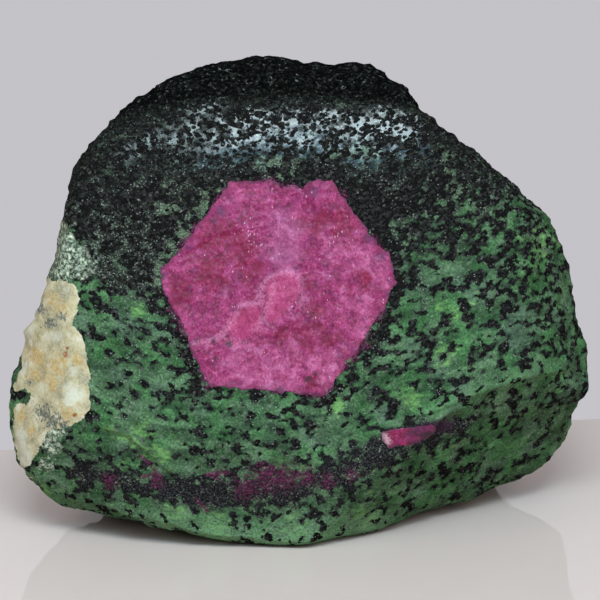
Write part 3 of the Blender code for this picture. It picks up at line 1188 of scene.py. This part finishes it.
print("green clouds of", CLOUD_SIZE, "mm and sugar of", SUGAR_SIZE, "mm")

# %% [markdown]
# Cream feldspar fills the left end. It is milky, with ochre clouds where iron has soaked in, frosty spots
# where it is clear, and soot in its cracks. Its edge against the green is sharp.

# %% Feldspar
CREAM = ((0.36, 156, 143, 110), (0.50, 185, 168, 126), (0.66, 210, 198, 168))
SOOT = ((0.45, 92, 98, 88), (0.62, 38, 42, 40))
FROST_WHITE = (202, 196, 174)
OCHRE = (190, 154, 88)
RUST = (150, 92, 48)
SUGAR_WHITE = (235, 232, 220)


def feldspar_colour(finish, stone, sugar):
    """Milky cream with frost, ochre, rust and soot, each where its map lies."""
    milk = finish.noise(stone, 3.0, detail=3.0)
    speck = finish.noise(stone, 0.6, 3.0, 0.65)
    ochre = finish.frayed("ochre", finish.noise(stone, 1.4, 4.0, 0.6), 2.6)
    cream = finish.ramp(milk, CREAM)
    cream = finish.cover(cream, FROST_WHITE, finish.frayed("frost", milk, 1.6), 0.3, 1.1, 0.75)
    cream = finish.cover(cream, OCHRE, ochre, 0.15, 1.0, 0.9)
    cream = finish.cover(cream, RUST, finish.stored("rust"), 0.2, 0.7)
    soot = finish.ramp(speck, SOOT)
    cream = finish.cover(cream, soot, finish.frayed("soot", speck, 3.0), 0.35, 0.85, 0.85)
    return finish.cover(cream, SUGAR_WHITE, sugar, 0.35, 0.7, 0.25)


print("feldspar from", CREAM[0][1:], "to", CREAM[-1][1:])

# %% [markdown]
# The black grains aren't plain black. Each cell of a cluster has its own grey, and fine flecks are painted
# glints, as if catching the light. The crown of the stone and the band near its foot have blacks of their
# own, the crown's with painted glints. The magenta stains of the band and the small painted sparkles of the
# green are laid over the grains.

# %% Grains, stains and painted sparkles
AMPHIBOLE = ((0.0, 14, 13, 13), (0.6, 25, 24, 23), (0.85, 48, 48, 45), (1.0, 88, 90, 84))
# Coal black for the crown; the ramp's top stop paints glints into it.
COAL_AND_GLINTS = ((0.46, 3, 3, 3), (0.54, 12, 12, 12), (0.62, 44, 45, 43), (0.71, 142, 143, 138))
CHARCOAL = ((0.40, 20, 19, 19), (0.53, 40, 39, 40), (0.69, 92, 90, 90))
STAIN = ((0.38, 64, 32, 48), (0.55, 102, 44, 74), (0.68, 150, 68, 112))
# Painted glints on the black grains.
GLINT_FLECK_GREY = (124, 122, 120)
DUSKY_VIOLET = (60, 36, 54)
# Painted sparkles on the green.
PAINTED_SPARKLE_WHITE = (172, 176, 164)
SPARKLE_SPACING = 0.55


def grain_colour(finish, stone, tint, salt, crown, coal):
    """Near-black grains with grey flecks painted as glints, coal with painted glints on the crown, and
    charcoal in the band.
    """
    # Painted glints: grey flecks that stand for light caught by the grains' faces.
    flecks = finish.noise(stone, 0.26, 2.0, 0.7)
    colour = finish.cover(finish.ramp(tint, AMPHIBOLE), GLINT_FLECK_GREY, flecks, 0.62, 0.74, 0.7)
    colour = finish.mix(finish.times(crown, 0.85), colour, coal)
    return finish.mix(finish.times(finish.stored("band"), 0.85), colour, finish.ramp(salt, CHARCOAL))


def stained(finish, stone, sugar, colour):
    """Lays the magenta stains and the dusky patch by the small ruby over a colour."""
    stain = finish.frayed("stain", finish.noise(stone, 0.45, 3.0, 0.7), 2.4)
    colour = finish.cover(colour, finish.ramp(sugar, STAIN), stain, 0.35, 0.95, 0.8)
    return finish.cover(colour, DUSKY_VIOLET, finish.frayed("violet", sugar, 0.8), 0.2, 1.1, 0.85)


def with_painted_sparkles(finish, stone, crown, colour):
    """A few cells get a painted sparkle at their middle, and fewer of them in the crown and the band."""
    middle = finish.between(finish.cells(stone, SPARKLE_SPACING), 0.26, 0.12)
    chosen = finish.between(finish.cells(stone, SPARKLE_SPACING, "Color"), 0.66, 0.74)
    quiet = finish.math("MAXIMUM", crown, finish.times(finish.stored("band"), 0.15))
    painted_sparkle = finish.times(finish.times(middle, chosen), finish.minus(1.0, quiet))
    return finish.mix(finish.times(painted_sparkle, 0.5), colour, PAINTED_SPARKLE_WHITE)


print("sparkles lie", SPARKLE_SPACING, "mm apart or more")

# %% [markdown]
# Everything meets in the rock's own finish. Each zone's map is frayed by fine noise before it is cut off,
# so its edge is as crisp and ragged as a mineral's, however coarse the mesh. The worn shoulder is nearly
# polished where it is clean zoisite and dull where it is black, so a clear coat, weighted by a map, lets
# the key box draw a bright net between the grains.

# %% The rock's colour
FOOT_GREEN = (122, 158, 118)
# Painted highlight colour for the crest of the right ridge.
RIDGE_HIGHLIGHT_GREEN = (112, 156, 108)
GREY_RIND = ((0.40, 60, 74, 60), (0.62, 112, 126, 100))
PALE_MIX = ((0.38, 46, 56, 46), (0.46, 98, 112, 92), (0.54, 164, 172, 150), (0.66, 222, 218, 190))


def rock_colour(finish, stone, layers):
    """The colour, and what the polish needs: the dull share and the sugary grain."""
    black, tint, under = black_grains(finish, layers)
    colour, sugar, salt = green_ground(finish, stone, layers, under)
    foot = finish.times(finish.stored("foot"), finish.between(sugar, 0.36, 0.60, 0.25, 0.75))
    colour = finish.mix(foot, colour, FOOT_GREEN)
    # Painted highlight: a lighter green along the crest of the right ridge, where it catches the light.
    ridge = finish.times(finish.stored("ridge"), finish.between(salt, 0.40, 0.55, 0.1, 0.4))
    colour = finish.mix(ridge, colour, RIDGE_HIGHLIGHT_GREEN)

    coarse = finish.noise(stone, 1.6, 4.0, 0.6)
    rim = finish.frayed("grey_rim", coarse, 3.2)
    colour = finish.cover(colour, finish.ramp(salt, GREY_RIND), rim, 0.05, 0.75, 0.8)
    in_patch = finish.between(finish.frayed("white_patch", coarse, 3.2), -0.2, 0.5)
    colour = finish.mix(in_patch, colour, finish.ramp(finish.noise(stone, 0.60, 3.0, 0.7), PALE_MIX))

    crown = finish.stored("crown")
    # The crown is coal black with painted glints.
    coal = finish.ramp(finish.noise(stone, 0.75, 4.0, 0.75), COAL_AND_GLINTS)
    colour = finish.mix(finish.times(crown, 0.9), colour, coal)
    black = finish.times(black, finish.between(in_patch, 0.0, 1.0, 1.0, 0.45))
    colour = finish.mix(black, colour, grain_colour(finish, stone, tint, salt, crown, coal))
    colour = stained(finish, stone, sugar, colour)
    pure = finish.between(finish.frayed("feldspar", coarse, 1.92), -0.05, 0.12)
    colour = finish.mix(pure, colour, feldspar_colour(finish, stone, sugar))
    dull = finish.times(black, finish.minus(1.0, pure))
    return with_painted_sparkles(finish, stone, crown, colour), black, dull, sugar


print("whitish patch from", PALE_MIX[0][1:], "to", PALE_MIX[-1][1:])

# %% The rock's finish
COAT_ROUGHNESS = 0.19
COAT_IOR = 1.75


def rock_finish():
    """The rock's material: dull black grains, and a clear coat on the worn zoisite between them."""
    finish = Finish("black_speckled_zoisite")
    stone = finish.stored("stone", "Vector")
    layers = finish.stored("layers", "Vector")
    colour, black, dull, sugar = rock_colour(finish, stone, layers)
    worn = finish.times(finish.between(finish.stored("raw"), 0.1, 0.6, 1.0, 0.06), finish.stored("polish"))
    worn = finish.times(worn, finish.between(finish.noise(layers, 1.6, 2.0, 0.6), 0.36, 0.60, 0.10, 0.55))
    height = finish.times(sugar, 0.07, finish.times(black, 0.04))
    height = finish.times(finish.noise(stone, 1.1, 3.0), 0.16, height)
    swell = finish.times(finish.noise(stone, 1.6, 2.0), 0.05)
    varying = {
        "Base Color": colour,
        "Roughness": finish.times(sugar, 0.15, finish.between(dull, 0.0, 1.0, 0.45, 0.85)),
        "Coat Weight": finish.times(finish.minus(1.0, dull), worn),
        "Normal": finish.bump(height),
        "Coat Normal": finish.bump(swell),
    }
    for name, value in varying.items():
        finish.feed(finish.shader.inputs[name], value)
    finish.shader.inputs["Specular IOR Level"].default_value = 0.0
    finish.shader.inputs["Coat Roughness"].default_value = COAT_ROUGHNESS
    finish.shader.inputs["Coat IOR"].default_value = COAT_IOR
    return finish.material


rock.data.materials.clear()
rock.data.materials.append(rock_finish())
print("rock finish nodes:", len(rock.data.materials[0].node_tree.nodes))

# %% [markdown]
# ## Ruby
# The crystal is an opaque magenta, clouded with crimson where it is densest, and paler towards its foot
# and along a lilac band from the middle to the top. Two rounded lobes stand in its middle, and fine pale
# needles and dark specks break it up. The places of the larger clouds are marked first.

# %% Marks on the rubies: centre x and v, and radius
CRIMSON_SPOTS = (
    (-14.0, 53.0, 4.0), (-15.0, 46.0, 3.5), (-10.0, 50.5, 3.5), (0.6, 55.0, 1.8), (6.5, 55.0, 3.0),
    (3.4, 54.6, 2.0), (-9.4, 39.2, 1.3), (1.0, 36.4, 3.0), (-13.5, 48.5, 1.6), (10.6, 45.6, 1.5),
    (4.6, 35.4, 2.0), (2.0, 28.0, 1.6), (-20.0, 43.2, 2.6), (-8.6, 46.0, 1.8), (2.6, 40.4, 2.2),
    (-3.0, 36.0, 2.0),
)
PALE_SPOTS = (
    (-3.8, 30.5, 4.5), (-9.0, 32.0, 4.0), (4.0, 31.0, 3.5), (11.0, 37.0, 2.5), (6.6, 50.6, 3.0),
    (10.4, 49.4, 2.8), (13.2, 45.6, 2.0), (9.6, 40.6, 2.6), (-12.0, 35.5, 2.5), (2.8, 30.0, 2.0),
    (-8.4, 40.2, 1.6),
)
GARNET_SPOTS = (
    (-15.4, 47.7, 1.3), (-0.5, 54.0, 1.1), (3.8, 56.0, 1.2), (2.4, 53.6, 0.9), (-6.8, 47.6, 1.2),
    (11.2, 46.0, 1.1), (1.4, 44.6, 1.0),
)
RUBY_VIOLET_SPOTS = (
    (-13.3, 56.9, 1.3), (-14.4, 55.4, 0.8), (13.6, 49.4, 1.0), (15.0, 43.0, 1.0), (-3.4, 26.8, 1.2),
    (-22.8, 46.2, 0.9), (-18.8, 51.0, 0.8), (11.4, 52.4, 1.3), (2.4, 60.2, 1.3),
)
DARK_SPOTS = (
    (-11.9, 34.8, 0.75), (-12.2, 36.0, 0.4), (-14.1, 32.4, 0.5), (-14.5, 35.3, 0.4), (-17.0, 33.6, 0.35),
    (1.3, 29.0, 0.6), (2.6, 29.8, 0.4), (-16.0, 28.4, 0.9),
)
NEEDLE_SPOTS = (
    (6.0, 52.8, 1.4), (-8.2, 51.6, 1.5), (-8.8, 53.4, 1.2), (7.6, 52.4, 1.2), (-9.6, 51.0, 1.0),
)
LOBES = (
    ((-5.8, 43.6), (-5.4, 45.2), (-4.2, 46.5), (-2.6, 47.0), (-1.0, 46.6), (0.0, 45.4), (0.1, 43.8),
     (-0.7, 42.0), (-2.2, 40.4), (-3.8, 39.0), (-5.2, 38.0), (-6.0, 39.4), (-5.8, 41.6)),
    ((-12.2, 38.0), (-11.2, 39.6), (-9.4, 40.8), (-7.6, 41.2), (-6.6, 40.4), (-6.4, 38.6), (-7.2, 36.8),
     (-8.8, 35.6), (-10.8, 35.8)),
)
LILAC_PATHS = (((-3.2, 56.0), (-3.2, 46.8)), ((-1.2, 54.0), (-2.4, 47.6)))
LENS_TIP = ((13.9, 19.4), (14.4, 18.4))
LENS_TOP = 23.0
print("crimson clouds:", len(CRIMSON_SPOTS))


# %% Maps over the ruby
def ruby_maps(stone):
    """Each map of a ruby by the name that its material reads it by."""
    lilac = np.maximum(*[near_stroke(stone, path, 2.4) for path in LILAC_PATHS])
    lobes = np.maximum(*[fade(area_distance(stone, outline), -0.5, 0.6) for outline in LOBES])
    # The edges of the first two parting steps take a painted highlight, as if catching light from above.
    step_edge_highlight = np.maximum(*[near_stroke(stone, one["path"], 0.6) for one in RUBY_STEPS[:2]])
    inside = np.maximum(area_distance(stone, RUBY_CORNERS), area_distance(stone, LENS_CORNERS))
    return {
        "crimson": spots(stone, CRIMSON_SPOTS),
        "garnet": spots(stone, GARNET_SPOTS),
        "pale": spots(stone, PALE_SPOTS),
        "tip": near_stroke(stone, LENS_TIP, 0.9),
        "lilac": lilac,
        "violet": spots(stone, RUBY_VIOLET_SPOTS),
        "dark": spots(stone, DARK_SPOTS),
        "needles": spots(stone, NEEDLE_SPOTS),
        "lobes": lobes,
        "step_edge_highlight": step_edge_highlight,
        "dusk": fade(stone[:, 0], 14.0, 21.0) * (stone[:, 1] < LENS_TOP),
        "rim": np.exp(-np.maximum(inside, 0) / 0.7),
    }


for piece in (ruby, lens):
    stone = store_places(piece.data)
    for name, values in ruby_maps(stone).items():
        store(piece.data, name, values)
print("ruby points:", len(ruby.data.vertices), "and", len(lens.data.vertices))

# %% [markdown]
# The ruby's colour is built like the rock's. One number, mixed from clouds, flecks and long fibres, picks
# the magenta from a ramp, and each mark lays its own ramp over it. Small facets get a painted highlight and
# painted shade, as the crystal's parting planes catch light, because flat colour would look like plastic.

# %% Colours of the ruby: a place on the ramp, then red, green and blue
MAGENTA = ((0.36, 80, 12, 48), (0.45, 120, 24, 71), (0.53, 154, 44, 97), (0.61, 183, 77, 128),
           (0.72, 216, 138, 178))
CRIMSON = ((0.36, 78, 4, 30), (0.52, 128, 14, 58), (0.64, 160, 44, 88), (0.74, 198, 106, 142))
ROSE = ((0.36, 134, 42, 87), (0.50, 174, 72, 118), (0.60, 200, 106, 148), (0.74, 234, 166, 198))
LILAC = ((0.38, 138, 56, 106), (0.54, 176, 96, 140), (0.70, 224, 160, 196))
LOBE_PINK = ((0.36, 148, 34, 76), (0.54, 182, 64, 110), (0.72, 216, 118, 156))
DUSK = ((0.42, 34, 22, 30), (0.52, 72, 34, 62), (0.62, 118, 38, 82))
VEIL_PINK = (218, 140, 182)
# Painted highlight and painted shade of the small facets.
FACET_HIGHLIGHT_PINK = (224, 114, 162)
FACET_SHADE_DARK = (98, 8, 48)
GARNET = (130, 8, 52)
PURPLE = (134, 54, 118)
DARK_VIOLET = (84, 36, 76)
# Painted highlight on the edges of the parting steps.
STEP_EDGE_HIGHLIGHT_PINK = (226, 146, 180)
NEEDLE_WHITE = (232, 190, 208)
SPECK_DARK = (50, 38, 42)
TIP_WHITE = (206, 162, 168)
RIM_DARK = (70, 30, 54)
print("ruby from", MAGENTA[0][1:], "to", MAGENTA[-1][1:])


# %% Ruby clouds and the painted highlight and shade of facets
FACET_SIZE = 0.36


def ruby_clouds(finish, stone, body, deep, drift, fleck, crimson_bias):
    """Magenta with its pale, crimson and garnet clouds, and the painted highlight and shade of small facets.
    """
    colour = finish.ramp(body, MAGENTA)
    rose = finish.ramp(body, ROSE)
    colour = finish.cover(colour, rose, finish.frayed("pale", drift, 2.6), 0.1, 0.9, 0.85)
    veil = finish.noise(finish.shake(stone, 1.5, 1.5), 2.2, 4.0, 0.65)
    colour = finish.cover(colour, VEIL_PINK, veil, 0.54, 0.72, 0.35)
    crimson = finish.frayed("crimson", drift, 2.6)
    colour = finish.cover(colour, deep, crimson, 0.2 - crimson_bias, 0.9 - crimson_bias, 0.95)
    # Painted highlight and shade: facets made lighter and darker at random, as parting planes catch the
    # light.
    facets = finish.cells(finish.shake(stone, 0.5, 0.6, detail=2.0), FACET_SIZE, "Color")
    facets = finish.times(finish.noise(stone, 1.3, 3.0, 0.6), 3.0, finish.minus(facets, 1.5))
    colour = finish.cover(colour, FACET_HIGHLIGHT_PINK, facets, 0.60, 1.35, 0.45)
    colour = finish.cover(colour, FACET_SHADE_DARK, facets, 0.40, -0.35, 0.55)
    colour = finish.cover(colour, GARNET, finish.frayed("garnet", fleck, 2.2), 0.25, 1.05, 0.8)
    colour = finish.cover(colour, deep, finish.noise(stone, 1.3, 2.0, 0.6), 0.54, 0.66, 0.7)
    return finish.cover(colour, PURPLE, finish.noise(stone, 1.0, 3.0, 0.6), 0.54, 0.68, 0.3)


print("facets of", FACET_SIZE, "mm")

# %% Needles of the ruby
NEEDLE_SPACING = 0.33
NEEDLE_SQUEEZE = 0.45


def with_needles(finish, stone, colour):
    """Thin upright cells, a few of them lit, and more where needles are marked."""
    tall = finish.stretch(stone, 1.0, 1.0, NEEDLE_SQUEEZE)
    middle = finish.between(finish.cells(tall, NEEDLE_SPACING), 0.34, 0.18)
    sparse = finish.times(finish.stored("needles"), -0.60, 0.86)
    chance = finish.cells(tall, NEEDLE_SPACING, "Color")
    needle = finish.times(middle, finish.between(finish.minus(chance, sparse), 0.0, 0.04))
    return finish.mix(finish.times(needle, 0.6), colour, NEEDLE_WHITE)


print("needles are", round(1 / NEEDLE_SQUEEZE, 1), "times as tall as they are wide")

# %% The ruby's finish
RUBY_SHINE = 0.16
RUBY_IOR = 1.76


def ruby_finish(name, crimson_bias):
    """An opaque ruby; the bias turns more of it crimson."""
    finish = Finish(name)
    stone = finish.stored("stone", "Vector")
    cloud = finish.noise(finish.shake(stone, 2.0, 1.6, detail=2.0), 1.9, detail=5.0, roughness=0.68)
    fleck = finish.noise(finish.shake(stone, 0.8, 0.6), 0.34, detail=3.0, roughness=0.7)
    fibre = finish.noise(finish.stretch(finish.shake(stone, 3.0, 3.0), 1.0, 1.0, 0.35), 0.34, detail=1.0)
    body = finish.times(cloud, 0.48, finish.times(fibre, 0.16, finish.times(fleck, 0.36)))
    drift = finish.noise(stone, 1.8, 4.0, 0.6)
    deep = finish.ramp(body, CRIMSON)
    colour = ruby_clouds(finish, stone, body, deep, drift, fleck, crimson_bias)
    lilac = finish.ramp(body, LILAC)
    colour = finish.cover(colour, lilac, finish.frayed("lilac", drift, 1.43), 0.1, 1.2, 0.5)
    lobes = finish.frayed("lobes", drift, 0.52)
    colour = finish.cover(colour, finish.ramp(body, LOBE_PINK), lobes, 0.3, 0.8, 0.62)
    colour = finish.cover(colour, DARK_VIOLET, finish.frayed("violet", fleck, 2.4), 0.2, 1.1, 0.75)
    # Painted highlight along the edges of the first two parting steps.
    edge = finish.times(finish.stored("step_edge_highlight"), finish.between(fleck, 0.36, 0.56))
    colour = finish.mix(finish.times(edge, 0.28), colour, STEP_EDGE_HIGHLIGHT_PINK)
    colour = with_needles(finish, stone, colour)
    colour = finish.cover(colour, SPECK_DARK, finish.frayed("dark", fleck, 2.2), 0.30, 0.90, 0.85)
    colour = finish.cover(colour, TIP_WHITE, finish.frayed("tip", fleck, 2.4), 0.3, 0.8, 0.75)
    dusk = finish.ramp(cloud, DUSK)
    colour = finish.cover(colour, dusk, finish.frayed("dusk", fleck, 2.4), 0.30, 0.90, 0.85)
    colour = finish.cover(colour, RIM_DARK, finish.frayed("rim", fleck, 3.0), 0.55, 1.0, 0.75)
    height = finish.times(fleck, 0.07, finish.times(cloud, 0.22))
    finish.feed(finish.shader.inputs["Base Color"], colour)
    finish.feed(finish.shader.inputs["Roughness"], finish.between(fleck, 0.3, 0.7, 0.36, 0.62))
    finish.feed(finish.shader.inputs["Normal"], finish.bump(height))
    finish.shader.inputs["Specular IOR Level"].default_value = RUBY_SHINE
    finish.shader.inputs["IOR"].default_value = RUBY_IOR
    return finish.material


print("ruby index of refraction:", RUBY_IOR)

# %% Finish both crystals
LENS_CRIMSON_BIAS = 0.75

for piece, crimson_bias in ((ruby, 0.0), (lens, LENS_CRIMSON_BIAS)):
    piece.data.materials.clear()
    piece.data.materials.append(ruby_finish(piece.name, crimson_bias))
print("ruby finishes:", [piece.data.materials[0].name for piece in (ruby, lens)])

# %% [markdown]
# ## Hand the pieces over
# Each visible piece takes the place of its imported solid and rides on the one body that the stone is.

# %% Smooth, ride and replace
for piece, node, slot in (
    (rock, "zoisite_matrix", "zoisite_rock"),
    (ruby, "ruby_crystal", "ruby"),
    (lens, "small_ruby", "ruby"),
):
    piece.data.shade_smooth()
    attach(piece, "root")
    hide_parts(node)
    triangles = sum(len(face.vertices) - 2 for face in piece.data.polygons)
    print(piece.name, "stands for", node, "with", triangles, "triangles")
